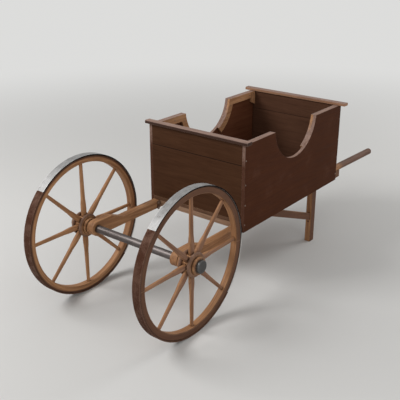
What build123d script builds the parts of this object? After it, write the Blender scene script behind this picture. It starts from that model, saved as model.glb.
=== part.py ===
"""A two-wheeled wooden hand cart, parked on its wheels and two rear legs.

X runs across the cart (+X is on the left of the person at the handles),
Y runs to the rear, where the handles are, and Z is up from the ground.
The origin lies on the ground, midway between the two ends of the cart.
"""
import math
import os

from build123d import *

# Wheels
wheel_radius = 450.0
wheel_plane_x = 428.0
spoke_count = 8
tyre_width = 52.0
tyre_thickness = 6.0
tyre_clearance = 0.1
tyre_joint_angle = 135.0
tyre_joint_gap = 1.5
felloe_width = 46.0
felloe_depth = 41.0
felloe_edge = 4.0
felloe_joint_angle = -2.0
felloe_joint_gap = 0.6
spoke_root_radius = 15.0
spoke_waist_radius = 13.5
spoke_tip_radius = 10.5
spoke_shoulder_radius = 17.0
spoke_root_sinking = 12.0
spoke_tip_sinking = 10.0
waist_share = 0.3

# Turned nave, with its stations measured from the middle plane of the wheel
nave_half_length = 60.0
nave_barrel_radius = 58.0
nave_band_radius = 74.0
nave_groove_radius = 46.0
nave_collar_radius = 52.0
nave_band_start = 21.0
nave_band_end = 40.0
nave_groove_end = 45.0

# Axle, with the steel caps that hold the wheels on
axle_radius = 24.0
running_clearance = 0.06
seat_clearance = 0.3
cap_radius = 39.0
cap_length = 18.0
cap_edge = 4.0
spacer_radius = 40.0
spacer_thickness = 8.0
end_float = 1.0

# Rails under the box, with deep ends for the axle
rail_width = 50.0
rail_depth = 52.0
rail_beyond_box = 100.0
rail_end_radius = 46.0
rail_end_length = 125.0
rail_ramp_length = 100.0

# Round handles with a thicker heel, lying on the rear ends of the rails and sloping down a little
handle_reach = 2418.0
handle_radius = 24.5
handle_end_round = 10.0
handle_slope_angle = 1.6
handle_flat_depth = 8.0
heel_radius = 26.0
heel_beyond = 8.0
heel_edge = 1.2

# Box
box_front_from_axle = 573.0
box_length = 1192.0
side_thickness = 22.0
side_drop = 46.0
side_height = 570.0
end_thickness = 20.0
floor_thickness = 26.0
floor_board_count = 6
board_gap = 1.0
upper_board_height = 135.0
cap_half_front = 405.0
cap_half_rear = 425.0
cap_thickness = 20.0
cap_depth = 48.0
cap_overhang = 16.0
cap_edge_round = 6.0

# Scoop cut in each side, with the battens round it
scoop_radius = 257.0
scoop_rise = 32.0
scoop_from_front = 582.0
batten_thickness = 18.0
batten_height = 48.0
batten_foot_angle = 60.0
post_width = 50.0
post_height = 104.0
post_splay = 24.0

# Bearers under the floor
bearer_width = 60.0
bearer_depth = 34.0

# Straps with rounded ends on the inner faces of the rails, just ahead of the box
strap_width = 22.0
strap_thickness = 5.0
strap_length = 60.0
strap_gap = 2.0

# Legs tenoned into the rails, each with a sloping brace
leg_width = 44.0
leg_depth = 56.0
leg_from_axle = 1504.0
leg_edge = 3.0
tenon_width = 20.0
tenon_depth = 36.0
tenon_height = 26.0
brace_thickness = 28.0
brace_depth = 48.0
brace_angle = 21.7
brace_level = 200.0

# Levels and stations that follow from the sizes above
axle_y = -(handle_reach - wheel_radius) / 2.0
axle_z = wheel_radius
rail_reach = box_front_from_axle + box_length + rail_beyond_box
rail_bottom = axle_z - rail_end_radius
rail_top = rail_bottom + rail_depth
nave_inner_x = wheel_plane_x - nave_half_length
nave_outer_x = wheel_plane_x + nave_half_length
spacer_outer_x = nave_inner_x - end_float
rail_outer_x = spacer_outer_x - spacer_thickness
rail_inner_x = rail_outer_x - rail_width
rail_middle_x = rail_outer_x - rail_width / 2.0
floor_top = rail_top + floor_thickness
side_bottom = rail_top - side_drop
side_top = side_bottom + side_height
side_inner_x = rail_outer_x
side_outer_x = side_inner_x + side_thickness
box_front = axle_y + box_front_from_axle
box_rear = box_front + box_length
inner_front = box_front + end_thickness
inner_rear = box_rear - end_thickness
board_split = side_top - upper_board_height
scoop_y = box_front + scoop_from_front
scoop_z = side_top + scoop_rise
batten_inner_x = side_inner_x - batten_thickness
felloe_outer_radius = wheel_radius - tyre_thickness - tyre_clearance
felloe_inner_radius = felloe_outer_radius - felloe_depth
leg_y = axle_y + leg_from_axle
leg_front = leg_y - leg_depth / 2.0

# The handle's middle line starts behind the box and ends where its rounded tip reaches furthest
slope = math.radians(handle_slope_angle)
handle_start_y = box_rear + seat_clearance + heel_radius * math.sin(slope)
handle_start_z = rail_top + handle_radius - handle_flat_depth
tip_ring = handle_radius - handle_end_round
straight_y = axle_y + handle_reach - handle_end_round - tip_ring * math.sin(slope)
handle_length = (straight_y - handle_start_y) / math.cos(slope) + handle_end_round
heel_length = (axle_y + rail_reach + heel_beyond - handle_start_y) / math.cos(slope)

axle_line = Axis((0, axle_y, axle_z), (1, 0, 0))
sides = (("left", 1.0), ("right", -1.0))


def save(piece, name):
    """Label a finished piece and write it under its own name."""
    piece.part.label = name
    export_step(piece.part, f"parts/{name}.step")


os.makedirs("parts", exist_ok=True)

# One spoke, turned about X with its root towards the origin
root = nave_barrel_radius - spoke_root_sinking + seat_clearance
shoulder = nave_band_radius
tip = felloe_inner_radius + spoke_tip_sinking - seat_clearance
waist = shoulder + waist_share * (felloe_inner_radius - shoulder)
with BuildPart() as spoke:
    with BuildSketch(Plane.XY):
        with BuildLine():
            Polyline((waist, 0), (root, 0), (root, spoke_root_radius))
            ThreePointArc(
                (root, spoke_root_radius),
                (shoulder, spoke_shoulder_radius),
                (waist, spoke_waist_radius),
            )
            Polyline(
                (waist, spoke_waist_radius),
                (felloe_inner_radius, spoke_tip_radius),
                (tip, spoke_tip_radius),
                (tip, 0),
                (waist, 0),
            )
        make_face()
    revolve(axis=Axis.X)

# Wheels: a turned nave, turned spokes, two bent felloes and two half hoops
for side, sign in sides:
    middle = Plane((sign * wheel_plane_x, axle_y, axle_z), x_dir=(0, 1, 0), z_dir=(1, 0, 0))
    turning = Plane((sign * wheel_plane_x, axle_y, axle_z), x_dir=(1, 0, 0), z_dir=(0, -1, 0))

    with BuildPart() as nave:
        bore = axle_radius + running_clearance
        swell = (nave_band_end - nave_band_start) / 2.0
        band_shoulder = nave_band_radius - swell
        with BuildSketch(turning):
            with BuildLine():
                for end in (-1.0, 1.0):
                    Polyline(
                        (0, nave_barrel_radius),
                        (end * nave_band_start, nave_barrel_radius),
                        (end * nave_band_start, band_shoulder),
                    )
                    ThreePointArc(
                        (end * nave_band_start, band_shoulder),
                        (end * (nave_band_start + swell), nave_band_radius),
                        (end * nave_band_end, band_shoulder),
                    )
                    Polyline(
                        (end * nave_band_end, band_shoulder),
                        (end * nave_band_end, nave_groove_radius),
                        (end * nave_groove_end, nave_groove_radius),
                        (end * nave_groove_end, nave_collar_radius),
                        (end * nave_half_length, nave_collar_radius),
                        (end * nave_half_length, bore),
                        (0, bore),
                    )
            make_face()
        revolve(axis=axle_line)
        with Locations(middle):
            with PolarLocations(nave_barrel_radius, spoke_count):
                Cylinder(
                    spoke_root_radius + spoke_shoulder_radius - spoke_waist_radius,
                    2.0 * spoke_root_sinking,
                    rotation=(0, 90, 0),
                    mode=Mode.SUBTRACT,
                )
    save(nave, f"nave_{side}")

    with BuildPart() as spokes:
        with Locations(middle):
            with PolarLocations(0, spoke_count):
                add(spoke.part)
    save(spokes, f"spokes_{side}")

    for half, turn in (("upper", 0.0), ("lower", 180.0)):
        with BuildPart() as felloe:
            trim = math.degrees(felloe_joint_gap / 2.0 / felloe_outer_radius)
            first = felloe_joint_angle + turn + trim
            sweep = 180.0 - 2.0 * trim
            with BuildSketch(middle.offset(-felloe_width / 2.0)):
                with BuildLine():
                    outer = CenterArc((0, 0), felloe_outer_radius, first, sweep)
                    inner = CenterArc((0, 0), felloe_inner_radius, first, sweep)
                    Line(outer @ 0, inner @ 0)
                    Line(outer @ 1, inner @ 1)
                make_face()
            extrude(amount=felloe_width)
            inner_edges = felloe.edges().filter_by(GeomType.CIRCLE).group_by(SortBy.RADIUS)[0]
            chamfer(inner_edges, felloe_edge)
            with Locations(middle):
                with PolarLocations(felloe_inner_radius, spoke_count):
                    Cylinder(
                        spoke_tip_radius + seat_clearance,
                        2.0 * spoke_tip_sinking,
                        rotation=(0, 90, 0),
                        mode=Mode.SUBTRACT,
                    )
        save(felloe, f"felloe_{half}_{side}")

    for metal, turn in (("bare", -180.0), ("rusty", 0.0)):
        with BuildPart() as hoop:
            trim = math.degrees(tyre_joint_gap / 2.0 / wheel_radius)
            first = tyre_joint_angle + turn + trim
            sweep = 180.0 - 2.0 * trim
            hoop_inner = felloe_outer_radius + tyre_clearance
            with BuildSketch(middle.offset(-tyre_width / 2.0)):
                with BuildLine():
                    outer = CenterArc((0, 0), wheel_radius, first, sweep)
                    inner = CenterArc((0, 0), hoop_inner, first, sweep)
                    Line(outer @ 0, inner @ 0)
                    Line(outer @ 1, inner @ 1)
                make_face()
            extrude(amount=tyre_width)
        save(hoop, f"tyre_{metal}_{side}")

# Axle rod, held in the rail ends, and the caps on its two ends
axle_half = nave_outer_x + end_float
with BuildPart() as axle:
    with BuildSketch(Plane((-axle_half, axle_y, axle_z), x_dir=(0, 1, 0), z_dir=(1, 0, 0))):
        Circle(axle_radius)
    extrude(amount=2.0 * axle_half)
save(axle, "axle")

for side, sign in sides:
    outwards = Plane((sign * axle_half, axle_y, axle_z), x_dir=(0, 1, 0), z_dir=(sign, 0, 0))
    with BuildPart() as cap:
        with BuildSketch(outwards):
            Circle(cap_radius)
        extrude(amount=cap_length)
        fillet(cap.edges().sort_by(axle_line)[-1 if sign > 0 else 0], cap_edge)
    save(cap, f"axle_cap_{side}")

    spacer_plane = Plane((sign * rail_outer_x, axle_y, axle_z), x_dir=(0, 1, 0), z_dir=(sign, 0, 0))
    with BuildPart() as spacer:
        with BuildSketch(spacer_plane):
            Circle(spacer_radius)
            Circle(axle_radius + seat_clearance, mode=Mode.SUBTRACT)
        extrude(amount=spacer_thickness)
    save(spacer, f"spacer_{side}")

# Rails: squared beams with a deep rounded end for the axle and a mortise for the leg
for side, sign in sides:
    inner_face = Plane((sign * rail_inner_x, axle_y, axle_z), x_dir=(0, 1, 0), z_dir=(1, 0, 0))
    with BuildPart() as rail:
        with BuildSketch(inner_face):
            with BuildLine():
                ramp_end = rail_end_length + rail_ramp_length
                Polyline(
                    (0, -rail_end_radius),
                    (rail_reach, -rail_end_radius),
                    (rail_reach, rail_top - axle_z),
                    (ramp_end, rail_top - axle_z),
                    (rail_end_length, rail_end_radius),
                    (0, rail_end_radius),
                )
                ThreePointArc((0, rail_end_radius), (-rail_end_radius, 0), (0, -rail_end_radius))
            make_face()
            Circle(axle_radius + seat_clearance, mode=Mode.SUBTRACT)
        extrude(amount=sign * rail_width)
        with BuildSketch(Plane((sign * rail_middle_x, leg_y, rail_bottom))):
            Rectangle(tenon_width + 2.0 * seat_clearance, tenon_depth + 2.0 * seat_clearance)
        extrude(amount=tenon_height + seat_clearance, mode=Mode.SUBTRACT)
    save(rail, f"rail_{side}")

    # The handle is planed flat where it lies on the rail
    with BuildPart() as handle:
        lie = Plane(
            (sign * rail_middle_x, handle_start_y, handle_start_z),
            x_dir=(1, 0, 0),
            z_dir=(0, math.cos(slope), -math.sin(slope)),
        )
        with BuildSketch(lie):
            Circle(handle_radius)
        extrude(amount=handle_length)
        fillet(handle.edges().sort_by(Axis.Y)[-1], handle_end_round)
        with BuildSketch(lie):
            Circle(heel_radius)
        extrude(amount=heel_length)
        heel_rims = handle.edges().filter_by(GeomType.CIRCLE).group_by(SortBy.RADIUS)[-1]
        chamfer(heel_rims.sort_by(Axis.Y)[-1], heel_edge)
        with BuildSketch(Plane((sign * rail_middle_x, handle_start_y, rail_top))):
            flat_length = axle_y + rail_reach - handle_start_y + seat_clearance
            Rectangle(2.0 * heel_radius, 2.0 * flat_length)
        extrude(amount=-heel_radius, mode=Mode.SUBTRACT)
    save(handle, f"handle_{side}")

# Scooped sides, one wide board each
for side, sign in sides:
    with BuildPart() as panel:
        with BuildSketch(Plane((sign * side_inner_x, 0, 0), x_dir=(0, 1, 0), z_dir=(1, 0, 0))):
            with Locations(((box_front + box_rear) / 2.0, side_bottom)):
                Rectangle(box_length, side_height, align=(Align.CENTER, Align.MIN))
            with Locations((scoop_y, scoop_z)):
                Circle(scoop_radius, mode=Mode.SUBTRACT)
        extrude(amount=sign * side_thickness)
    save(panel, f"side_{side}")

    for end, direction, wall in (("front", -1.0, inner_front), ("rear", 1.0, inner_rear)):
        horn_edge = scoop_y + direction * math.sqrt(scoop_radius**2 - scoop_rise**2)
        post_far = wall - direction * seat_clearance
        post_near = post_far - direction * post_width
        batten_face = sign * (side_inner_x - seat_clearance)
        inner_plane = Plane((batten_face, 0, 0), x_dir=(0, 1, 0), z_dir=(1, 0, 0))
        with BuildPart() as post:
            with BuildSketch(inner_plane):
                with BuildLine():
                    Polyline(
                        (post_far, side_top),
                        (post_near, side_top),
                        (post_near, side_top - post_height + post_splay),
                        (post_far, side_top - post_height),
                        (post_far, side_top),
                    )
                make_face()
            extrude(amount=-sign * batten_thickness)
        save(post, f"post_{end}_{side}")

        # The batten runs along the top, then turns down round the scoop
        with BuildPart() as batten:
            foot = math.radians(batten_foot_angle)
            outer_radius = scoop_radius + batten_height
            along = direction * math.cos(foot)
            down = math.sin(foot)
            under = side_top - batten_height
            turn_y = scoop_y + direction * math.sqrt(outer_radius**2 - (scoop_z - under) ** 2)
            outer_foot = (scoop_y + along * outer_radius, scoop_z - down * outer_radius)
            inner_foot = (scoop_y + along * scoop_radius, scoop_z - down * scoop_radius)
            post_side = post_near - direction * board_gap
            with BuildSketch(inner_plane):
                with BuildLine():
                    Polyline(
                        (horn_edge, side_top),
                        (post_side, side_top),
                        (post_side, under),
                        (turn_y, under),
                    )
                    RadiusArc((turn_y, under), outer_foot, direction * outer_radius)
                    Line(outer_foot, inner_foot)
                    RadiusArc(inner_foot, (horn_edge, side_top), -direction * scoop_radius)
                make_face()
            extrude(amount=-sign * batten_thickness)
        save(batten, f"batten_{end}_{side}")

# Front and rear ends, two boards each, with a cap along the top
end_half = side_inner_x - seat_clearance
for end, station in (("front", box_front), ("rear", inner_rear)):
    for board, low, high in (
        ("lower", floor_top, board_split - board_gap),
        ("upper", board_split, side_top),
    ):
        with BuildPart() as end_board:
            with BuildSketch(Plane((0, station, low))):
                Rectangle(2.0 * end_half, end_thickness, align=(Align.CENTER, Align.MIN))
            extrude(amount=high - low)
        save(end_board, f"{end}_board_{board}")

for end, edge, half in (
    ("front", box_front - cap_overhang, cap_half_front),
    ("rear", box_rear + cap_overhang - cap_depth, cap_half_rear),
):
    with BuildPart() as cap:
        with BuildSketch(Plane((0, edge, side_top))):
            Rectangle(2.0 * half, cap_depth, align=(Align.CENTER, Align.MIN))
        extrude(amount=cap_thickness)
        fillet(cap.edges().filter_by(Axis.X).group_by(Axis.Z)[-1], cap_edge_round)
    save(cap, f"cap_{end}")

# Floor boards laid across the rails, as one node of separate boards
board_length = (box_length - (floor_board_count - 1) * board_gap) / floor_board_count
with BuildPart() as floor:
    for number in range(floor_board_count):
        start = box_front + number * (board_length + board_gap)
        with BuildSketch(Plane((0, start, rail_top))):
            Rectangle(2.0 * end_half, board_length, align=(Align.CENTER, Align.MIN))
        extrude(amount=floor_thickness)
save(floor, "floor")

# Bearers between the rails, under the floor
bearer_half = rail_inner_x - seat_clearance
for end, station in (("front", box_front), ("rear", box_rear - bearer_width)):
    with BuildPart() as bearer:
        with BuildSketch(Plane((0, station, rail_top))):
            Rectangle(2.0 * bearer_half, bearer_width, align=(Align.CENTER, Align.MIN))
        extrude(amount=-bearer_depth)
    save(bearer, f"bearer_{end}")

# Straps on the rails
for side, sign in sides:
    with BuildPart() as strap:
        strap_y = box_front - strap_gap - strap_width / 2.0
        hang = Plane((sign * rail_inner_x, strap_y, rail_top), x_dir=(0, 1, 0), z_dir=(1, 0, 0))
        with BuildSketch(hang):
            Rectangle(strap_width, strap_length, align=(Align.CENTER, Align.MAX))
        extrude(amount=-sign * strap_thickness)
        low_corners = strap.edges().filter_by(Axis.X).group_by(Axis.Z)[0]
        fillet(low_corners, strap_width / 2.0 - seat_clearance)
    save(strap, f"strap_{side}")

# Legs under the rails, with a tenon each
for side, sign in sides:
    with BuildPart() as leg:
        with BuildSketch(Plane((sign * rail_middle_x, leg_y, 0))):
            Rectangle(leg_width, leg_depth)
        extrude(amount=rail_bottom)
        chamfer(leg.edges().filter_by(Axis.Z), leg_edge)
        with BuildSketch(Plane((sign * rail_middle_x, leg_y, rail_bottom))):
            Rectangle(tenon_width, tenon_depth)
        extrude(amount=tenon_height)
    save(leg, f"leg_{side}")

    # The brace slopes up from the front of the leg to the underside of the rail
    with BuildPart() as brace:
        rise = math.tan(math.radians(brace_angle))
        half_height = brace_depth / 2.0 / math.cos(math.radians(brace_angle))
        low_z = brace_level - half_height
        high_z = brace_level + half_height
        foot_y = leg_front - seat_clearance
        with BuildSketch(Plane((sign * rail_middle_x, 0, 0), x_dir=(0, 1, 0), z_dir=(1, 0, 0))):
            with BuildLine():
                Polyline(
                    (foot_y, low_z),
                    (foot_y, high_z),
                    (foot_y - (rail_bottom - high_z) / rise, rail_bottom),
                    (foot_y - (rail_bottom - low_z) / rise, rail_bottom),
                    (foot_y, low_z),
                )
            make_face()
        extrude(amount=brace_thickness / 2.0, both=True)
    save(brace, f"brace_{side}")
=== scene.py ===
"""Finish, fastenings, stage and camera for the wooden hand cart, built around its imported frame.

X runs across the cart, Y runs to the handles at the rear, and Z is up, all in metres.
"""

import math

import bmesh
import bpy
from mathutils import Matrix, Vector


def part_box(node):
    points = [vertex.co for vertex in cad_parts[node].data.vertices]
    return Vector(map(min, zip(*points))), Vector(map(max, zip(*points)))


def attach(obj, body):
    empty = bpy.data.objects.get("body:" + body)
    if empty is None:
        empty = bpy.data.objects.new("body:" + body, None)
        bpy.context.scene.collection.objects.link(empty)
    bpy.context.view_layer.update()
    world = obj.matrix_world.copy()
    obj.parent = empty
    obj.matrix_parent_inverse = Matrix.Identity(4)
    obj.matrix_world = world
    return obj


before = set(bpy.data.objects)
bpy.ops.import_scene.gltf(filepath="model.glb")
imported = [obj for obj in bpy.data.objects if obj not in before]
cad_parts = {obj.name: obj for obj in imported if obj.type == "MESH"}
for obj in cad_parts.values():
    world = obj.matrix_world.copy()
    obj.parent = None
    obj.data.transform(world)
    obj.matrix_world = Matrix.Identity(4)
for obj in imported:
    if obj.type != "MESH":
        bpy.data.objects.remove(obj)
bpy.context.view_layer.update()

# Camera, set from the photograph
CAMERA_LENS = 62.85
CAMERA_SENSOR = 36.0
CAMERA_AZIMUTH = 38.183
CAMERA_ELEVATION = 22.379
CAMERA_DISTANCE = 4.7233
CAMERA_FROM_AXLE = Vector((-0.1033, 0.7532, 0.0))

# The two sides of the cart, with the sign of X
SIDES = {"left": 1.0, "right": -1.0}

# Lamps: place, power in watts and diameter
LAMPS = {
    "key": (Vector((-3.2, -3.6, 4.6)), 210.0, 3.0),
    "fill": (Vector((4.5, -2.5, 2.6)), 45.0, 4.0),
    "rear": (Vector((2.0, 4.8, 3.2)), 70.0, 3.0),
}
SKY_STRENGTH = 0.62

# The pale floor, and how far out it fades into the backdrop
BACKDROP = (0.72, 0.72, 0.71, 1.0)
FADE_START = 2.0
FADE_END = 7.0
FLOOR_REACH = 40.0

# Heads of nails, bolts, nuts and pegs; each is sunk a little into what it holds
NAIL_RADIUS = 0.0050
SMALL_NAIL_RADIUS = 0.0040
NAIL_HEIGHT = 0.0016
FLOOR_NAIL_HEIGHT = 0.0008
CAP_NAIL_HEIGHT = 0.00032
NAIL_SUNK = 0.003
HOOP_NAIL_RADIUS = 0.006
HOOP_NAIL_SUNK = 0.002
STRAP_BOLT_RADIUS = 0.0066
STRAP_BOLT_HEIGHT = 0.0042
STRAP_BOLT_SUNK = 0.002
BOLT_RADIUS = 0.011
BOLT_HEIGHT = 0.006
BOLT_SUNK = 0.004
BOLT_END_RADIUS = 0.006
BOLT_END_HEIGHT = 0.004
NUT_RADIUS = 0.012
NUT_HEIGHT = 0.009
NUT_BEVEL = 0.0008
WASHER_RADIUS = 0.016
WASHER_THICKNESS = 0.002
WASHER_SUNK = 0.001
PEG_RADIUS = 0.007
PEG_HEIGHT = 0.002
PEG_SUNK = 0.004

# Places of the fastenings, in metres, degrees or shares of a length
SIDE_NAIL_FROM_END = 0.010
SIDE_NAIL_LEVELS = (0.878, 0.723, 0.590, 0.460)
CAP_NAIL_FROM_END = 0.03
CAP_NAIL_SHARES = (-1.0, -0.5, 0.0, 0.5, 1.0)
HOOP_NAIL_ANGLES = [22.5 + 45.0 * number for number in range(8)]
HOOP_JOINT_ANGLES = (135.0, -45.0)
HOOP_BOLT_FROM_JOINT = 3.0
HOOP_NAIL_DEPTH = 0.0002
STRAP_BOLT_FROM_END = 0.013
SCOOP_FROM_FRONT = 0.582
SCOOP_ABOVE_TOP = 0.032
BATTEN_MIDDLE_RADIUS = 0.281
BATTEN_MIDDLE_DROP = 0.024
BATTEN_NAIL_ANGLES = (17.0, 36.0, 54.0)
BATTEN_NAILS_FROM_END = (0.03, 0.14)
POST_NAIL_DROPS = (0.02, 0.062)
FLOOR_BOARDS = 6
FLOOR_NAIL_SHARES = (0.25, 0.75)
HANDLE_SLOPE = math.radians(1.6)
HANDLE_BOLTS_FROM_END = (0.028, 0.074)
HANDLE_BOLT_DEPTH = 0.0006
LEG_PEG_RISE = 0.014
BRACE_PEG_DROP = 0.016

# Places in the finishes: the end of the handle's heel past the rail, and how far inside the tread
# the painted shadow of the hoop reaches on a felloe's side, and how far its inward face turns brown
HEEL_BEYOND_RAIL = 0.008
HOOP_SHADOW_DEPTH = 0.0115
BROWN_DEPTH = 0.020


def centre(name):
    """The middle of the box round a CAD node."""
    low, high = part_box(name)
    return (low + high) / 2.0


def inner_face(name, sign):
    """The X of the face that looks towards the middle of the cart, on the side with this sign."""
    low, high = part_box(name)
    return low.x if sign > 0 else high.x


# Stations read from the frame
axle_y = centre("axle").y
axle_z = centre("axle").z
side_low, side_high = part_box("side_left")
wheel_x = centre("tyre_bare_left").x
wheel_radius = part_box("tyre_bare_left")[1].z - axle_z
board_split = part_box("front_board_upper")[0].z
heel_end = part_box("rail_left")[1].y + HEEL_BEYOND_RAIL
hoop_shadow_line = wheel_radius - HOOP_SHADOW_DEPTH
brown_line = wheel_radius - BROWN_DEPTH

# Grain: its scale along the piece, the shares of its shift on each axis, its tilt in the brace, and
# the angles round a wheel where its pattern breaks, each in a joint or between two spokes
GRAIN_STRETCH = 0.06
SHIFT_SHARES = (1.0, 0.7, 1.3)
BRACE_TILT = math.radians(21.7)
FELLOE_SEAM = 178.0
HOOP_SEAM = 135.0
SPOKE_SEAM = 157.5

# Noises: scale, detail, roughness and distortion
FIGURE = (42.0, 6.0, 0.62, 0.7)
WANDER = (9.0, 2.0, 0.5, 0.4)
PORES = (330.0, 2.0, 0.5)
BLOTCH = (5.0, 3.0, 0.55)
SCUFFS = (26.0, 4.0)
SCRATCHES = (520.0, 3.0, 0.6)
PATCHES = (16.0, 5.0, 0.65)
SPECKS = (170.0, 4.0, 0.7)

# Wood and metal: growth lines, width of worn edges, reach of dirt and painted shade out of a
# joint, depth of the relief, and rays sent out to find edges and joints
GROWTH_LINES = 95.0
WOOD_EDGE = 0.003
METAL_EDGE = 0.0015
WORN_BAND = 0.005
DIRT_AND_SHADE_REACH = 0.012
WOOD_RELIEF = 0.0012
METAL_RELIEF = 0.0006
RAYS = 6

# Each ramp holds from, to, and what it gives there if that is not 0 and 1

# Ramps over a noise or another value
FIGURE_TONE = (0.34, 0.66, 0.0, 0.7)
LINE_TONE = (-1.0, 1.0, 0.0, 0.3)
STAIN_COVER = (0.22, 0.42, 0.93, 1.0)
BLOTCHED = (0.3, 0.7)
PORED = (0.58, 0.72)
SCUFFED = (0.35, 0.6)
WOOD_ROUGHNESS = (0.3, 0.7, 0.54, 0.72)
EDGE_TURN = (0.995, 0.85)
OPEN_SKY = (0.35, 0.85, 1.0, 0.0)
BRUSHED = (0.32, 0.68)
DULL_PATCHES = (0.4, 0.62, 0.0, 0.45)
RUST_SPECKS = (0.35, 0.65)
RUST_LIMITS = (0.62, 0.72)

# Ramps over the direction of a face, -1 to 1
BROAD = (0.45, 0.75)
INWARD = (-0.75, -0.45, 1.0, 0.0)
UPWARD = (0.3, 0.6)
DOWNWARD = (-0.6, -0.3, 1.0, 0.0)
END_GRAIN = (0.985, 0.995)
NAVE_END = (0.5, 0.8, 0.0, 0.6)
SPOKE_SIDE = (0.1, 0.75)

# Ramps over a place, in metres
END_WASH = (0.835, 0.9, 0.9, 0.3)
JOINT_LINE = (0.0012, 0.0032, 1.0, 0.0)
HOOP_SHADOW_RING = (hoop_shadow_line - 0.002, hoop_shadow_line + 0.001)
BROWN_RING = (brown_line - 0.0015, brown_line + 0.0015)
NAVE_BANDS = (0.0600, 0.0625)
SPOKE_FADE = (0.1, 0.4, 0.75, 0.45)
SHADE_BEHIND_BOX = (side_high.y - 0.01, side_high.y + 0.01, 0.0, 0.85)
GRIP = (heel_end - 0.02, heel_end + 0.06)

# The hoop's side has a painted highlight round this angle and painted shade elsewhere, by the turn's cosine
SIDE_HIGHLIGHT_ANGLE = math.radians(-27.0)
SIDE_HIGHLIGHT_ARC = (-0.93, -0.86)


def colour(red, green, blue):
    """A shader colour, by the sRGB curve, from the three numbers, 0 to 255, that a screen shows."""
    parts = [c / 255.0 for c in (red, green, blue)]
    return tuple(p / 12.92 if p <= 0.04045 else ((p + 0.055) / 1.055) ** 2.4 for p in parts) + (1.0,)


def node(tree, kind, inputs=None, **settings):
    """A new node with its settings and inputs: an input is a plain value or another node's output."""
    made = tree.nodes.new(kind)
    for key, value in settings.items():
        setattr(made, key, value)
    for socket, value in (inputs or {}).items():
        if isinstance(value, bpy.types.NodeSocket):
            tree.links.new(value, made.inputs[socket])
        else:
            made.inputs[socket].default_value = value
    return made


def maths(tree, operation, first, second=0.0):
    """The output of one Math node."""
    return node(tree, "ShaderNodeMath", {0: first, 1: second}, operation=operation).outputs[0]


def weigh(tree, first, first_share, second, second_share):
    """The sum of two values, each times its share."""
    return maths(tree, "ADD", maths(tree, "MULTIPLY", first, first_share),
                 maths(tree, "MULTIPLY", second, second_share))


def noise(tree, vector, scale, detail, roughness=0.6, distortion=0.0):
    """The grey output of one Noise Texture."""
    inputs = {"Vector": vector, "Scale": scale, "Detail": detail, "Roughness": roughness,
              "Distortion": distortion}
    return node(tree, "ShaderNodeTexNoise", inputs).outputs["Fac"]


def ramp(tree, value, low, high, start=0.0, end=1.0):
    """Value stretched so that low gives start and high gives end, and kept between these two."""
    inputs = {"Value": value, "From Min": low, "From Max": high, "To Min": start, "To Max": end}
    return node(tree, "ShaderNodeMapRange", inputs, clamp=True).outputs[0]


def blend_colours(tree, share, first, second, kind="MIX"):
    """First and second colour mixed by share."""
    inputs = {0: share, 6: first, 7: second}
    return node(tree, "ShaderNodeMix", inputs, data_type="RGBA", blend_type=kind).outputs[2]


def new_finish(name):
    """An empty material with its shader, ready for wiring."""
    made = bpy.data.materials.new(name)
    made.use_nodes = True
    return made, made.node_tree, made.node_tree.nodes["Principled BSDF"]


def object_point(tree):
    """The point on the piece, in the cart's own metres."""
    return node(tree, "ShaderNodeTexCoord").outputs["Object"]


def straight_grain(along, tilt=0.0, shift=0.0):
    """Grain that runs along one axis of the cart, tilted about X, and shifted so that neighbours differ."""
    def build(tree):
        scale = [1.0, 1.0, 1.0]
        scale["XYZ".index(along)] = GRAIN_STRETCH
        place = [shift * share for share in SHIFT_SHARES]
        turned = node(tree, "ShaderNodeMapping",
                      {"Vector": object_point(tree), "Rotation": (tilt, 0.0, 0.0)}).outputs[0]
        return node(tree, "ShaderNodeMapping",
                    {"Vector": turned, "Scale": scale, "Location": place}).outputs[0]
    return build


def round_axle(tree, seam):
    """The point as height along the axle, radius and arc length, with the cut in the arc at the seam."""
    inputs = {"Vector": object_point(tree), "Center": (0.0, axle_y, axle_z), "Axis": (1.0, 0.0, 0.0),
              "Angle": math.pi - seam}
    turned = node(tree, "ShaderNodeVectorRotate", inputs, rotation_type="AXIS_ANGLE").outputs[0]
    split = node(tree, "ShaderNodeSeparateXYZ", {0: turned}).outputs
    across = maths(tree, "SUBTRACT", split["Y"], axle_y)
    up = maths(tree, "SUBTRACT", split["Z"], axle_z)
    radius = maths(tree, "SQRT", weigh(tree, across, across, up, up))
    arc = maths(tree, "MULTIPLY", maths(tree, "ARCTAN2", up, across), wheel_radius)
    return split["X"], radius, arc


def axle_distance(tree):
    """The distance from the middle of the axle, in metres."""
    return round_axle(tree, 0.0)[1]


def bent_grain(seam):
    """Grain that follows the rim of a wheel, with its seam at this angle in degrees."""
    def build(tree):
        height, radius, arc = round_axle(tree, math.radians(seam))
        slow = maths(tree, "MULTIPLY", arc, GRAIN_STRETCH)
        return node(tree, "ShaderNodeCombineXYZ", {0: height, 1: radius, 2: slow}).outputs[0]
    return build


def spoke_grain(tree):
    """Grain that runs out from the axle along each spoke."""
    height, radius, arc = round_axle(tree, math.radians(SPOKE_SEAM))
    slow = maths(tree, "MULTIPLY", radius, GRAIN_STRETCH)
    return node(tree, "ShaderNodeCombineXYZ", {0: height, 1: slow, 2: arc}).outputs[0]


def edge_wear(tree, reach):
    """1 on a worn corner and 0 on a flat face, from how much a rounded edge would turn the surface."""
    rounded = node(tree, "ShaderNodeBevel", {"Radius": reach}, samples=RAYS).outputs[0]
    plain = node(tree, "ShaderNodeNewGeometry").outputs["Normal"]
    same = node(tree, "ShaderNodeVectorMath", {0: rounded, 1: plain}, operation="DOT_PRODUCT")
    return ramp(tree, same.outputs["Value"], *EDGE_TURN), rounded


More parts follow.
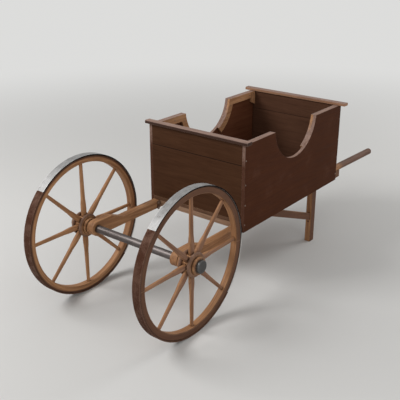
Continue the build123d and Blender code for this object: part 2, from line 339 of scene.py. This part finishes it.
def dirt_and_shade_in_joints(tree):
    """Dirt and painted shade, from ambient occlusion: 1 in the narrow places where two pieces meet, and 0 on
    open faces.
    """
    shade = node(tree, "ShaderNodeAmbientOcclusion", {"Distance": DIRT_AND_SHADE_REACH}, samples=RAYS)
    return ramp(tree, shade.outputs["AO"], *OPEN_SKY)


def normal_along(tree, axis):
    """How far the surface looks along one axis of the cart, from -1 to 1."""
    normal = node(tree, "ShaderNodeTexCoord").outputs["Normal"]
    return node(tree, "ShaderNodeSeparateXYZ", {0: normal}).outputs[axis]


def point_along(tree, axis):
    """The place of the point along one axis of the cart, in metres."""
    return node(tree, "ShaderNodeSeparateXYZ", {0: object_point(tree)}).outputs[axis]


def broad_faces(tree):
    """1 on faces that look along the axle and 0 on the edges between them."""
    return ramp(tree, maths(tree, "ABSOLUTE", normal_along(tree, "X")), *BROAD)


def facing_up(tree):
    """1 on the top and 0 on faces that look sideways or down."""
    return ramp(tree, normal_along(tree, "Z"), *UPWARD)


def not_up(tree):
    """0 on the top and 1 on faces that look sideways or down."""
    return maths(tree, "SUBTRACT", 1.0, facing_up(tree))


def looking_out(tree):
    """How far a face looks away from the middle of the cart, from -1 to 1."""
    return maths(tree, "MULTIPLY", normal_along(tree, "X"), maths(tree, "SIGN", point_along(tree, "X")))


def inner_faces(tree):
    """1 on the faces that look towards the middle of the cart."""
    return ramp(tree, looking_out(tree), *INWARD)


def side_board_faces(tree):
    """1 on the stained faces and underside of a side, less on its end grain, and 0 on its top edges."""
    under = ramp(tree, normal_along(tree, "Z"), *DOWNWARD)
    ends = ramp(tree, maths(tree, "ABSOLUTE", normal_along(tree, "Y")), *END_GRAIN)
    wash = maths(tree, "MULTIPLY", ends, ramp(tree, point_along(tree, "Z"), *END_WASH))
    return maths(tree, "MAXIMUM", maths(tree, "MAXIMUM", broad_faces(tree), under), wash)


def board_joint(tree):
    """1 in the dirty line where the upper and lower end boards meet."""
    off = maths(tree, "ABSOLUTE", maths(tree, "SUBTRACT", point_along(tree, "Z"), board_split))
    return ramp(tree, off, *JOINT_LINE)


def shadow_under_hoop(tree):
    """1 on the painted shadow that the hoop casts on a felloe's side, right under the hoop."""
    return maths(tree, "MULTIPLY", broad_faces(tree), ramp(tree, axle_distance(tree), *HOOP_SHADOW_RING))


def rim_dirt_and_shade(tree):
    """Dirt and painted shade in the joints of a wheel, and the painted shadow right under its hoop."""
    return maths(tree, "MAXIMUM", dirt_and_shade_in_joints(tree), shadow_under_hoop(tree))


def rim_paint(tree):
    """1 where a felloe is brown: on its outward face, and on the outer part of its inward face."""
    ring = ramp(tree, axle_distance(tree), *BROWN_RING)
    inward = maths(tree, "MULTIPLY", inner_faces(tree), ring)
    return maths(tree, "MAXIMUM", ramp(tree, looking_out(tree), *BROAD), inward)


def shade_behind_box(tree):
    """High where a rail comes out behind the box, with painted shadow under the handle, and 0 before it."""
    return ramp(tree, point_along(tree, "Y"), *SHADE_BEHIND_BOX)


def gripped(tree):
    """1 along the handled length of a handle, and 0 on the heel over the rail."""
    return ramp(tree, point_along(tree, "Y"), *GRIP)


def nave_paint(tree):
    """1 on the raised bands of a nave, less on its outward end, and 0 on its barrel and grooves."""
    bands = ramp(tree, axle_distance(tree), *NAVE_BANDS)
    return maths(tree, "MAXIMUM", bands, ramp(tree, looking_out(tree), *NAVE_END))


def spoke_stain_and_sheen(tree):
    """The share of stain on the outward side of a spoke, strongest near the nave; its pinkish tone is partly
    a painted sheen.
    """
    side = ramp(tree, looking_out(tree), *SPOKE_SIDE)
    return maths(tree, "MULTIPLY", side, ramp(tree, axle_distance(tree), *SPOKE_FADE))


def raise_relief(tree, shader, relief, rounded, strength, distance):
    """Bump from the relief, over the rounded edges."""
    inputs = {"Height": relief, "Normal": rounded, "Strength": strength, "Distance": distance}
    bump = node(tree, "ShaderNodeBump", inputs)
    tree.links.new(bump.outputs[0], shader.inputs["Normal"])


def wood(name, grain, dark, light, worn, painted=(), wear=0.6, shine=0.25, depth=0.5, grime_and_shade=dirt_and_shade_in_joints):
    """A wood finish: growth lines, pores, soft blotches, dirt and painted shade in the joints, and worn
    corners.

    Painted holds further pairs of colours, dark and light, each with the function that gives its places.
    """
    finish, tree, shader = new_finish(name)
    along = grain(tree)
    point = object_point(tree)
    figure = noise(tree, along, *FIGURE)
    pores = noise(tree, along, *PORES)
    blotch = noise(tree, point, *BLOTCH)
    lines = maths(tree, "SINE", maths(tree, "MULTIPLY", noise(tree, along, *WANDER), GROWTH_LINES))
    tone = maths(tree, "ADD", ramp(tree, figure, *FIGURE_TONE), ramp(tree, lines, *LINE_TONE))
    timber = blend_colours(tree, tone, dark, light)
    for stain_dark, stain_light, where in painted:
        stain = blend_colours(tree, tone, stain_dark, stain_light)
        cover = maths(tree, "MULTIPLY", where(tree), ramp(tree, blotch, *STAIN_COVER))
        timber = blend_colours(tree, cover, timber, stain)
    for value, limits, tint in ((blotch, BLOTCHED, BLOTCH_TINT), (pores, PORED, PORE_TINT)):
        timber = blend_colours(tree, ramp(tree, value, *limits, 0.0, depth), timber, tint, "MULTIPLY")
    corner, rounded = edge_wear(tree, WOOD_EDGE)
    scuffs = ramp(tree, noise(tree, point, *SCUFFS), *SCUFFED, 0.2 * wear, wear)
    timber = blend_colours(tree, maths(tree, "MULTIPLY", corner, scuffs), timber, worn)
    # Dirt and painted shade darken the joints
    timber = blend_colours(tree, maths(tree, "MULTIPLY", grime_and_shade(tree), 0.8), timber, DIRT_AND_SHADE, "MULTIPLY")
    tree.links.new(timber, shader.inputs["Base Color"])
    tree.links.new(ramp(tree, figure, *WOOD_ROUGHNESS), shader.inputs["Roughness"])
    shader.inputs["Specular IOR Level"].default_value = shine
    raise_relief(tree, shader, weigh(tree, figure, 0.6, pores, 0.4), rounded, 0.35, WOOD_RELIEF)
    return finish


def metal(name, grain, dark, light, rust, rusted, gloss=0.4, metallic=1.0, edge=None, corners=None):
    """A metal finish: fine scratches along the grain, dull patches and rust where rusted is high.

    Edge is a colour of painted shade for the narrow sides of a hoop, which get a painted highlight round one
    angle, and corners is one for worn corners.
    """
    finish, tree, shader = new_finish(name)
    along = grain(tree)
    point = object_point(tree)
    scratch = noise(tree, along, *SCRATCHES)
    patch = noise(tree, point, *PATCHES)
    speck = noise(tree, point, *SPECKS)
    bare = blend_colours(tree, ramp(tree, scratch, *BRUSHED), dark, light)
    bare = blend_colours(tree, ramp(tree, patch, *DULL_PATCHES), bare, dark)
    spread = weigh(tree, patch, 0.6, speck, 0.4)
    cover = ramp(tree, spread, *(limit - 0.3 * rusted for limit in RUST_LIMITS))
    deep_rust = tuple(part * 0.6 for part in rust[:3]) + (1.0,)
    skin = blend_colours(tree, ramp(tree, speck, *RUST_SPECKS), rust, deep_rust)
    surface = blend_colours(tree, cover, bare, skin)
    dull = cover
    rounded = edge_wear(tree, METAL_EDGE)[1]
    if corners:
        worn_band = edge_wear(tree, WORN_BAND)[0]
        surface = blend_colours(tree, maths(tree, "MULTIPLY", worn_band, 0.7), surface, corners)
    # Painted shade on the hoop's narrow sides, with a painted highlight on them round one angle
    if edge:
        sides = broad_faces(tree)
        turn = maths(tree, "COSINE", maths(tree, "DIVIDE", round_axle(tree, SIDE_HIGHLIGHT_ANGLE)[2], wheel_radius))
        shaded_side = maths(tree, "MULTIPLY", sides, ramp(tree, turn, *SIDE_HIGHLIGHT_ARC))
        highlit_side = maths(tree, "MULTIPLY", sides, ramp(tree, turn, *SIDE_HIGHLIGHT_ARC, 1.0, 0.0))
        surface = blend_colours(tree, shaded_side, surface, edge)
        surface = blend_colours(tree, highlit_side, surface, SCOURED_STEEL_AND_HIGHLIGHT)
        dull = maths(tree, "MAXIMUM", cover, shaded_side)
    rough = maths(tree, "ADD", ramp(tree, scratch, 0.3, 0.7, gloss - 0.08, gloss + 0.08),
                  maths(tree, "MULTIPLY", dull, 0.28))
    tree.links.new(surface, shader.inputs["Base Color"])
    tree.links.new(rough, shader.inputs["Roughness"])
    tree.links.new(ramp(tree, dull, 0.0, 1.0, metallic, 0.1), shader.inputs["Metallic"])
    shader.inputs["Specular IOR Level"].default_value = 0.1
    raise_relief(tree, shader, weigh(tree, scratch, 0.4, spread, 0.8), rounded, 0.3, METAL_RELIEF)
    return finish


# Tints that darken what they cover
# Dirt and painted shade in the joints
DIRT_AND_SHADE = (0.2, 0.16, 0.13, 1.0)
BLOTCH_TINT = (0.62, 0.58, 0.54, 1.0)
PORE_TINT = (0.45, 0.4, 0.36, 1.0)

# Stains: a dark and a light colour
BROWN = (colour(68, 43, 28), colour(80, 53, 36))
# The sides' stain made lighter for their inner faces: painted light for the inside of the box
INSIDE_STAIN_AND_LIGHT = (colour(96, 56, 38), colour(112, 70, 49))
OUTSIDE = (colour(71, 39, 24), colour(81, 47, 30))
# The end boards' stain made lighter for the rear boards: painted light for the inside of the box
REAR_STAIN_AND_LIGHT = (colour(84, 57, 43), colour(99, 69, 53))
PINK = (colour(126, 99, 88), colour(166, 138, 125))
RIM = (colour(86, 55, 38), colour(112, 76, 54))
GAP = (colour(30, 19, 14), colour(38, 25, 18))
FAINT_GAP = (colour(58, 38, 29), colour(70, 47, 36))
# Painted shade for the front cap's front, ends and underside
CAP_PAINTED_SHADE = (colour(54, 31, 20), colour(64, 39, 27))
PALE_CAP = (colour(144, 105, 80), colour(180, 137, 108))
GRIP_STAIN = (colour(92, 64, 52), colour(128, 96, 80))
NAVE_STAIN = (colour(108, 80, 64), colour(144, 112, 92))
# Spoke stain, its pinkish tone partly a painted sheen
SPOKE_STAIN_AND_SHEEN = (colour(108, 77, 63), colour(144, 110, 93))

# Woods: a dark, a light and a worn colour
TAN_WORN = colour(208, 168, 130)
BROWN_WORN = colour(116, 82, 64)
EDGES = (*PINK, colour(184, 156, 142))
BARE = (colour(134, 92, 61), colour(188, 140, 99), TAN_WORN)
# Bare wood made lighter for the battens and posts: painted light for the inside of the box
BARE_WITH_PAINTED_LIGHT = (colour(160, 113, 78), colour(206, 156, 114), TAN_WORN)
GREYED = (colour(128, 98, 76), colour(170, 136, 110), TAN_WORN)
FLOOR_WOOD = (colour(78, 52, 36), colour(112, 80, 58), TAN_WORN)
PEG = (colour(66, 34, 26), colour(92, 52, 38), BROWN_WORN)

# Metals: a dark, a light and a rust colour
STEEL = (colour(74, 74, 74), colour(110, 109, 108), colour(84, 60, 48))
DULL_STEEL = (colour(88, 82, 80), colour(122, 115, 113), colour(98, 70, 54))
HOOP_STEEL = (colour(122, 121, 121), colour(184, 183, 182), colour(98, 70, 54))
HOOP_RUST = (colour(70, 45, 34), colour(114, 84, 69), colour(84, 52, 38))
STRAP = (colour(104, 78, 62), colour(150, 122, 102), colour(92, 58, 42))
NAIL = (colour(116, 100, 90), colour(168, 150, 138), colour(90, 58, 44))
RUSTY_NAIL = (colour(84, 62, 52), colour(116, 90, 76), colour(80, 52, 40))
CAP_CORNERS = colour(168, 167, 165)
RUSTY_CORNERS = colour(140, 110, 92)
# Painted shade for the hoop's narrow sides; scoured steel for worn corners, which is also the sides' painted
# highlight
HOOP_SIDE_SHADE = colour(16, 15, 15)
SCOURED_STEEL_AND_HIGHLIGHT = colour(216, 214, 211)

PALE_FLOOR = colour(214, 213, 211)

# Side boards: a lighter stain on the inner faces, as painted light inside the box
side_wood = wood("stained side boards", straight_grain("Y"), *EDGES, wear=0.25, shine=0.04, depth=0.35,
                 painted=((*OUTSIDE, side_board_faces), (*INSIDE_STAIN_AND_LIGHT, inner_faces)))
# Rails: brown behind the box, as painted shadow under the handle
along_cart = wood("bare wood along the cart", straight_grain("Y"), *BARE, painted=((*RIM, shade_behind_box),))
across_cart = wood("bare wood across the cart", straight_grain("X"), *GREYED)
# Battens and posts: bare wood made lighter, as painted light inside the box
batten_wood = wood("batten wood", straight_grain("Y", shift=2.7), *BARE_WITH_PAINTED_LIGHT, painted=((*PINK, facing_up),))
upright = wood("post wood", straight_grain("Z"), *BARE_WITH_PAINTED_LIGHT, painted=((*PINK, facing_up),))
leg_wood = wood("leg wood", straight_grain("Z"), *BARE, painted=((*RIM, broad_faces),))
brace_wood = wood("brace wood", straight_grain("Y", tilt=BRACE_TILT), *BARE,
                  painted=((*RIM, broad_faces),))
handle_wood = wood("handle wood", straight_grain("Y"), *BARE, painted=((*GRIP_STAIN, gripped),))
turned_wood = wood("turned nave wood", straight_grain("X"), *BARE, painted=((*NAVE_STAIN, nave_paint),))
spoke_wood = wood("turned spoke wood", spoke_grain, *BARE, painted=((*SPOKE_STAIN_AND_SHEEN, spoke_stain_and_sheen),))
felloe_wood = wood("bent felloe wood", bent_grain(FELLOE_SEAM), *BARE, painted=((*RIM, rim_paint),),
                   grime_and_shade=rim_dirt_and_shade)
peg_wood = wood("dark peg wood", straight_grain("X"), *PEG)

steel = metal("worn grey steel", straight_grain("X"), *STEEL, rusted=0.1, corners=CAP_CORNERS)
axle_steel = metal("dull axle steel", straight_grain("X"), *DULL_STEEL, rusted=0.2, gloss=0.46)
bare_tyre = metal("bare brushed hoop", bent_grain(HOOP_SEAM), *HOOP_STEEL, rusted=0.12, gloss=0.55,
                  metallic=0.75, edge=HOOP_SIDE_SHADE, corners=SCOURED_STEEL_AND_HIGHLIGHT)
rusty_tyre = metal("brown rusted hoop", bent_grain(HOOP_SEAM), *HOOP_RUST, rusted=0.55, gloss=0.6,
                   metallic=0.2, corners=RUSTY_CORNERS)
strap_metal = metal("brown rusted straps", straight_grain("Z"), *STRAP, rusted=0.5, gloss=0.5,
                    metallic=0.5)
rusty_nails = metal("rusty nail heads", straight_grain("X"), *RUSTY_NAIL, rusted=0.4, gloss=0.5,
                    metallic=0.6)
nail_metal = metal("nail heads", straight_grain("Z"), *NAIL, rusted=0.2, gloss=0.5)

# The finish of each CAD node
finishes = {
    "axle": axle_steel,
    "bearer_front": across_cart,
    "bearer_rear": across_cart,
    # Front cap: its front, ends and underside carry painted shade, darker than its top
    "cap_front": wood("front cap wood", straight_grain("X", shift=1.9), *EDGES,
                      painted=((*CAP_PAINTED_SHADE, not_up),)),
    "cap_rear": wood("rear cap wood", straight_grain("X", shift=4.4), *EDGES,
                     painted=((*PALE_CAP, not_up),)),
    "floor": wood("floor board wood", straight_grain("X", shift=2.2), *FLOOR_WOOD),
}
# The rear boards take a lighter stain, with painted light for the inside of the box
for shift, board, stain, gap in (
    (0.0, "front_board_lower", BROWN, GAP),
    (3.1, "front_board_upper", BROWN, GAP),
    (5.7, "rear_board_lower", REAR_STAIN_AND_LIGHT, FAINT_GAP),
    (8.3, "rear_board_upper", REAR_STAIN_AND_LIGHT, FAINT_GAP),
):
    title = board.replace("_", " ") + " stain"
    finishes[board] = wood(title, straight_grain("X", shift=shift), *stain, BROWN_WORN,
                           painted=((*gap, board_joint),), wear=0.2, shine=0.04, depth=0.3)
for side in SIDES:
    finishes.update({
        f"side_{side}": side_wood,
        f"rail_{side}": along_cart,
        f"handle_{side}": handle_wood,
        f"batten_front_{side}": batten_wood,
        f"batten_rear_{side}": batten_wood,
        f"post_front_{side}": upright,
        f"post_rear_{side}": upright,
        f"leg_{side}": leg_wood,
        f"brace_{side}": brace_wood,
        f"strap_{side}": strap_metal,
        f"axle_cap_{side}": steel,
        f"spacer_{side}": turned_wood,
        f"nave_{side}": turned_wood,
        f"spokes_{side}": spoke_wood,
        f"felloe_upper_{side}": felloe_wood,
        f"felloe_lower_{side}": felloe_wood,
        f"tyre_bare_{side}": bare_tyre,
        f"tyre_rusty_{side}": rusty_tyre,
    })


def dress_frame():
    """Gives every CAD node its finish."""
    for name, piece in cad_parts.items():
        for place in piece.material_slots:
            place.material = finishes[name]


def mesh_from(name, bm):
    """A mesh made from the bmesh, which is then freed."""
    mesh = bpy.data.meshes.new(name)
    bm.to_mesh(mesh)
    bm.free()
    return mesh


def new_object(name, bm, finish):
    """An object in the scene with one finish, made from the bmesh."""
    mesh = mesh_from(name, bm)
    mesh.materials.append(finish)
    made = bpy.data.objects.new(name, mesh)
    bpy.context.scene.collection.objects.link(made)
    return made


def button(radius, height, sunk):
    """A turned head: a low dome on a rim, with a shank end that sinks into what it holds."""
    bm = bmesh.new()
    profile = ((0.0, -sunk), (radius * 0.7, -sunk), (radius, 0.0), (radius * 0.94, height * 0.5),
               (radius * 0.6, height * 0.9), (0.0, height))
    corners = [bm.verts.new((reach, 0.0, level)) for reach, level in profile]
    edges = [bm.edges.new(pair) for pair in zip(corners, corners[1:])]
    bmesh.ops.spin(bm, geom=corners + edges, cent=(0, 0, 0), axis=(0, 0, 1), angle=math.tau, steps=12,
                   use_merge=True)
    bmesh.ops.remove_doubles(bm, verts=bm.verts, dist=radius * 0.01)
    bmesh.ops.recalc_face_normals(bm, faces=bm.faces)
    return mesh_from("button", bm)


def at(point, outwards):
    """The place matrix of a head at a point, looking outwards."""
    turn = Vector((0.0, 0.0, 1.0)).rotation_difference(Vector(outwards)).to_matrix().to_4x4()
    return Matrix.Translation(Vector(point)) @ turn


def scatter(name, pattern, places, finish=nail_metal, body="cart"):
    """One piece with a copy of the pattern at every place."""
    bm = bmesh.new()
    for place in places:
        first = len(bm.verts)
        bm.from_mesh(pattern)
        bm.verts.ensure_lookup_table()
        bmesh.ops.transform(bm, matrix=place, verts=bm.verts[first:])
    piece = new_object(name, bm, finish)
    piece.data.shade_smooth()
    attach(piece, body)


def side_nails():
    """Nails through the sides into the end boards."""
    head = button(NAIL_RADIUS, NAIL_HEIGHT, NAIL_SUNK)
    stations = (side_low.y + SIDE_NAIL_FROM_END, side_high.y - SIDE_NAIL_FROM_END)
    for side, sign in SIDES.items():
        places = [at((sign * side_high.x, y, z), (sign, 0, 0)) for y in stations for z in SIDE_NAIL_LEVELS]
        scatter(f"side_nails_{side}", head, places)


def cap_nails():
    """Nails down through the caps."""
    head = button(NAIL_RADIUS, CAP_NAIL_HEIGHT, NAIL_SUNK)
    for end in ("front", "rear"):
        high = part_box(f"cap_{end}")[1]
        middle = centre(f"cap_{end}").y
        reach = high.x - CAP_NAIL_FROM_END
        places = [at((reach * share, middle, high.z - CAP_NAIL_HEIGHT), (0, 0, 1))
                  for share in CAP_NAIL_SHARES]
        scatter(f"cap_nails_{end}", head, places)


def tyre_nails():
    """Flush nails through each hoop between the spokes, and a bolt on both sides of each joint."""
    head = button(HOOP_NAIL_RADIUS, 0.0, HOOP_NAIL_SUNK)
    angles = HOOP_NAIL_ANGLES + [joint + step for joint in HOOP_JOINT_ANGLES
                                 for step in (-HOOP_BOLT_FROM_JOINT, HOOP_BOLT_FROM_JOINT)]
    for side, sign in SIDES.items():
        hub = Vector((sign * wheel_x, axle_y, axle_z))
        places = []
        for angle in angles:
            out = Vector((0.0, math.cos(math.radians(angle)), math.sin(math.radians(angle))))
            places.append(at(hub + out * (wheel_radius - HOOP_NAIL_DEPTH), out))
        scatter(f"tyre_nails_{side}", head, places, rusty_nails, f"wheel_{side}")


def strap_bolts():
    """Two round-headed bolts on each strap."""
    head = button(STRAP_BOLT_RADIUS, STRAP_BOLT_HEIGHT, STRAP_BOLT_SUNK)
    for side, sign in SIDES.items():
        low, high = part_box(f"strap_{side}")
        inner = inner_face(f"strap_{side}", sign)
        middle = centre(f"strap_{side}").y
        places = [at((inner, middle, z), (-sign, 0, 0))
                  for z in (low.z + STRAP_BOLT_FROM_END, high.z - STRAP_BOLT_FROM_END)]
        scatter(f"strap_bolts_{side}", head, places)


def batten_nails():
    """Nails along the middle of the battens and posts inside the box."""
    head = button(SMALL_NAIL_RADIUS, NAIL_HEIGHT, NAIL_SUNK)
    scoop_y = side_low.y + SCOOP_FROM_FRONT
    scoop_z = side_high.z + SCOOP_ABOVE_TOP
    for side, sign in SIDES.items():
        points = []
        for end, direction in (("front", -1.0), ("rear", 1.0)):
            for angle in BATTEN_NAIL_ANGLES:
                turn = math.radians(angle)
                points.append((scoop_y + direction * BATTEN_MIDDLE_RADIUS * math.cos(turn),
                               scoop_z - BATTEN_MIDDLE_RADIUS * math.sin(turn)))
            low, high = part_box(f"batten_{end}_{side}")
            outer = low.y if direction < 0 else high.y
            points += [(outer - direction * step, side_high.z - BATTEN_MIDDLE_DROP)
                       for step in BATTEN_NAILS_FROM_END]
            post_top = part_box(f"post_{end}_{side}")[1].z
            points += [(centre(f"post_{end}_{side}").y, post_top - drop) for drop in POST_NAIL_DROPS]
        inner = inner_face(f"batten_front_{side}", sign)
        places = [at((inner, y, z), (-sign, 0, 0)) for y, z in points]
        scatter(f"batten_nails_{side}", head, places)


def floor_nails():
    """Two nails through each floor board into each rail."""
    head = button(SMALL_NAIL_RADIUS, FLOOR_NAIL_HEIGHT, NAIL_SUNK)
    low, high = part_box("floor")
    board = (high.y - low.y) / FLOOR_BOARDS
    rail_x = centre("rail_left").x
    places = [at((sign * rail_x, low.y + board * (number + share), high.z), (0, 0, 1))
              for sign in (-1.0, 1.0) for number in range(FLOOR_BOARDS) for share in FLOOR_NAIL_SHARES]
    scatter("floor_nails", head, places)


def hexagon_nut():
    """A washer with a six-sided nut and the round end of its bolt, standing on the ground plane."""
    bm = bmesh.new()
    for sides, radius, low, high in (
        (24, WASHER_RADIUS, -WASHER_SUNK, WASHER_THICKNESS),
        (6, NUT_RADIUS, WASHER_THICKNESS * 0.5, NUT_HEIGHT),
        (16, BOLT_END_RADIUS, NUT_HEIGHT * 0.5, NUT_HEIGHT + BOLT_END_HEIGHT),
    ):
        middle = (high + low) / 2.0
        made = bmesh.ops.create_cone(bm, cap_ends=True, segments=sides, radius1=radius, radius2=radius,
                                     depth=high - low)["verts"]
        bmesh.ops.translate(bm, verts=made, vec=(0.0, 0.0, middle))
        edges = dict.fromkeys(edge for vert in made for edge in vert.link_edges)
        rim = [edge for edge in edges if all(end.co.z > middle for end in edge.verts)]
        bmesh.ops.bevel(bm, geom=rim, offset=NUT_BEVEL, segments=2, profile=0.5, affect="EDGES", material=-1)
    return mesh_from("nut", bm)


def handle_bolts():
    """A bolt through each handle and rail, with its round head on the handle and its nut below."""
    head = button(BOLT_RADIUS, BOLT_HEIGHT, BOLT_SUNK)
    nut = hexagon_nut()
    for side in SIDES:
        under_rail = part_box(f"rail_{side}")[0].z
        middle = centre(f"rail_{side}").x
        low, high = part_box(f"handle_{side}")
        tops = []
        nuts = []
        for station in HANDLE_BOLTS_FROM_END:
            top = high.z - station * math.tan(HANDLE_SLOPE) - HANDLE_BOLT_DEPTH
            tops.append(at((middle, low.y + station, top), (0, 0, 1)))
            nuts.append(at((middle, low.y + station, under_rail), (0, 0, -1)))
        scatter(f"handle_bolts_{side}", head, tops)
        scatter(f"handle_nuts_{side}", nut, nuts)


def leg_pegs():
    """Wooden pegs through the leg's tenon and under the brace's foot."""
    head = button(PEG_RADIUS, PEG_HEIGHT, PEG_SUNK)
    for side, sign in SIDES.items():
        leg = centre(f"leg_{side}")
        tenon_peg = Vector((inner_face(f"rail_{side}", sign), leg.y,
                            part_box(f"rail_{side}")[0].z + LEG_PEG_RISE))
        brace_peg = Vector((leg.x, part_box(f"leg_{side}")[0].y,
                            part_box(f"brace_{side}")[0].z - BRACE_PEG_DROP))
        places = [at(tenon_peg, (-sign, 0, 0)), at(brace_peg, (0, -1, 0))]
        scatter(f"leg_pegs_{side}", head, places, peg_wood)


def floor_finish():
    """A plain pale floor that fades into the backdrop far out, for the camera only."""
    finish, tree, shader = new_finish("pale floor")
    shader.inputs["Base Color"].default_value = PALE_FLOOR
    shader.inputs["Roughness"].default_value = 0.9
    shader.inputs["Specular IOR Level"].default_value = 0.1
    away = node(tree, "ShaderNodeVectorMath", {0: object_point(tree)}, operation="LENGTH").outputs["Value"]
    inputs = {"Value": away, "From Min": FADE_START, "From Max": FADE_END}
    far = node(tree, "ShaderNodeMapRange", inputs, interpolation_type="SMOOTHSTEP").outputs[0]
    seen = node(tree, "ShaderNodeLightPath").outputs
    direct = maths(tree, "MAXIMUM", seen["Is Camera Ray"], seen["Is Glossy Ray"])
    glow = node(tree, "ShaderNodeEmission", {"Color": BACKDROP}).outputs[0]
    share = maths(tree, "MULTIPLY", far, direct)
    mixed = node(tree, "ShaderNodeMixShader", {0: share, 1: shader.outputs[0], 2: glow})
    tree.links.new(mixed.outputs[0], tree.nodes["Material Output"].inputs["Surface"])
    return finish


def make_stage():
    """The floor under the cart."""
    bm = bmesh.new()
    bmesh.ops.create_grid(bm, x_segments=1, y_segments=1, size=FLOOR_REACH)
    new_object("floor_stage", bm, floor_finish())


def make_light():
    """One large key lamp from the left, weak fills from the right and the rear, and an even sky."""
    world = bpy.data.worlds.new("studio sky")
    bpy.context.scene.world = world
    world.use_nodes = True
    tree = world.node_tree
    sky = tree.nodes["Background"]
    path = node(tree, "ShaderNodeLightPath").outputs
    seen = maths(tree, "MAXIMUM", path["Is Camera Ray"],
                 maths(tree, "MAXIMUM", path["Is Glossy Ray"], path["Is Transmission Ray"]))
    sky.inputs["Color"].default_value = BACKDROP
    tree.links.new(ramp(tree, seen, 0.0, 1.0, SKY_STRENGTH, 1.0), sky.inputs["Strength"])
    for name, (place, power, size) in LAMPS.items():
        lamp = bpy.data.lights.new(name, "AREA")
        lamp.energy = power
        lamp.shape = "DISK"
        lamp.size = size
        holder = bpy.data.objects.new(name, lamp)
        holder.location = place
        holder.rotation_euler = (-place).to_track_quat("-Z", "Y").to_euler()
        bpy.context.scene.collection.objects.link(holder)


def make_camera():
    """The camera at the photograph's viewing angle."""
    lens = bpy.data.cameras.new("photograph")
    lens.lens = CAMERA_LENS
    lens.sensor_width = CAMERA_SENSOR
    camera = bpy.data.objects.new("photograph", lens)
    azimuth = math.radians(CAMERA_AZIMUTH)
    elevation = math.radians(CAMERA_ELEVATION)
    back = Vector((math.sin(azimuth) * math.cos(elevation),
                   -math.cos(azimuth) * math.cos(elevation),
                   math.sin(elevation)))
    target = Vector((0.0, axle_y, axle_z)) + CAMERA_FROM_AXLE
    camera.location = target + back * CAMERA_DISTANCE
    camera.rotation_euler = (-back).to_track_quat("-Z", "Y").to_euler()
    bpy.context.scene.collection.objects.link(camera)
    bpy.context.scene.camera = camera


dress_frame()
side_nails()
cap_nails()
tyre_nails()
strap_bolts()
batten_nails()
floor_nails()
handle_bolts()
leg_pegs()
make_stage()
make_light()
make_camera()
bpy.context.scene.view_settings.view_transform = "Standard"
